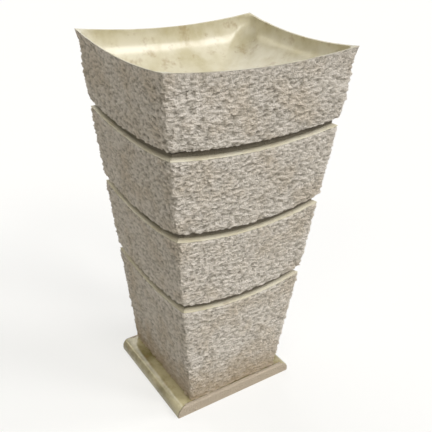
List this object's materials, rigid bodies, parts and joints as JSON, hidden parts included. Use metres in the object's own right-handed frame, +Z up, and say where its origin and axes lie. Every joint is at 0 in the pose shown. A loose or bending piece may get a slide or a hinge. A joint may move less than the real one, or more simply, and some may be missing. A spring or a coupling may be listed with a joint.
{
  "type": "pedestal planter",
  "caption": "Tapering hollow stone pedestal of stacked rough courses with sagging polished grooves, a polished dish with flared corners and a central drain.",
  "frame": {"origin": "middle of the plinth's underside, where the part stands on the floor", "axes": "+Z up, X along the rim's long side, Y along its short side; the picture's brighter face is the -Y side"},
  "size_m": [0.48, 0.4, 0.9],
  "materials": {
    "polished_marble": "polished, waxed",
    "rough_marble": "hand-pitched and bush-hammered outside; the dish and the shoulders of the grooves are polished",
    "setting_compound": "matte",
    "stainless_steel": "brushed",
    "chromed_brass": "polished",
    "brass": "machined",
    "black_rubber": "matte",
    "grey_pvc": "satin"
  },
  "bodies": {
    "root": {"plinth_slab": "polished_marble", "foot_block": "rough_marble", "lower_block": "rough_marble", "upper_block": "rough_marble", "bowl_block": "rough_marble", "foot_bed": "setting_compound", "lower_bed": "setting_compound", "upper_bed": "setting_compound", "bowl_bed": "setting_compound", "foot_dowels": "stainless_steel", "lower_dowels": "stainless_steel", "upper_dowels": "stainless_steel", "bowl_dowels": "stainless_steel", "drain_body": "chromed_brass", "lock_nut": "brass", "tailpiece": "chromed_brass", "flange_seal": "black_rubber", "floor_gasket": "black_rubber", "slip_washer": "black_rubber", "slip_nut": "grey_pvc", "drain_pipe": "grey_pvc"}
  },
  "joints": []
}
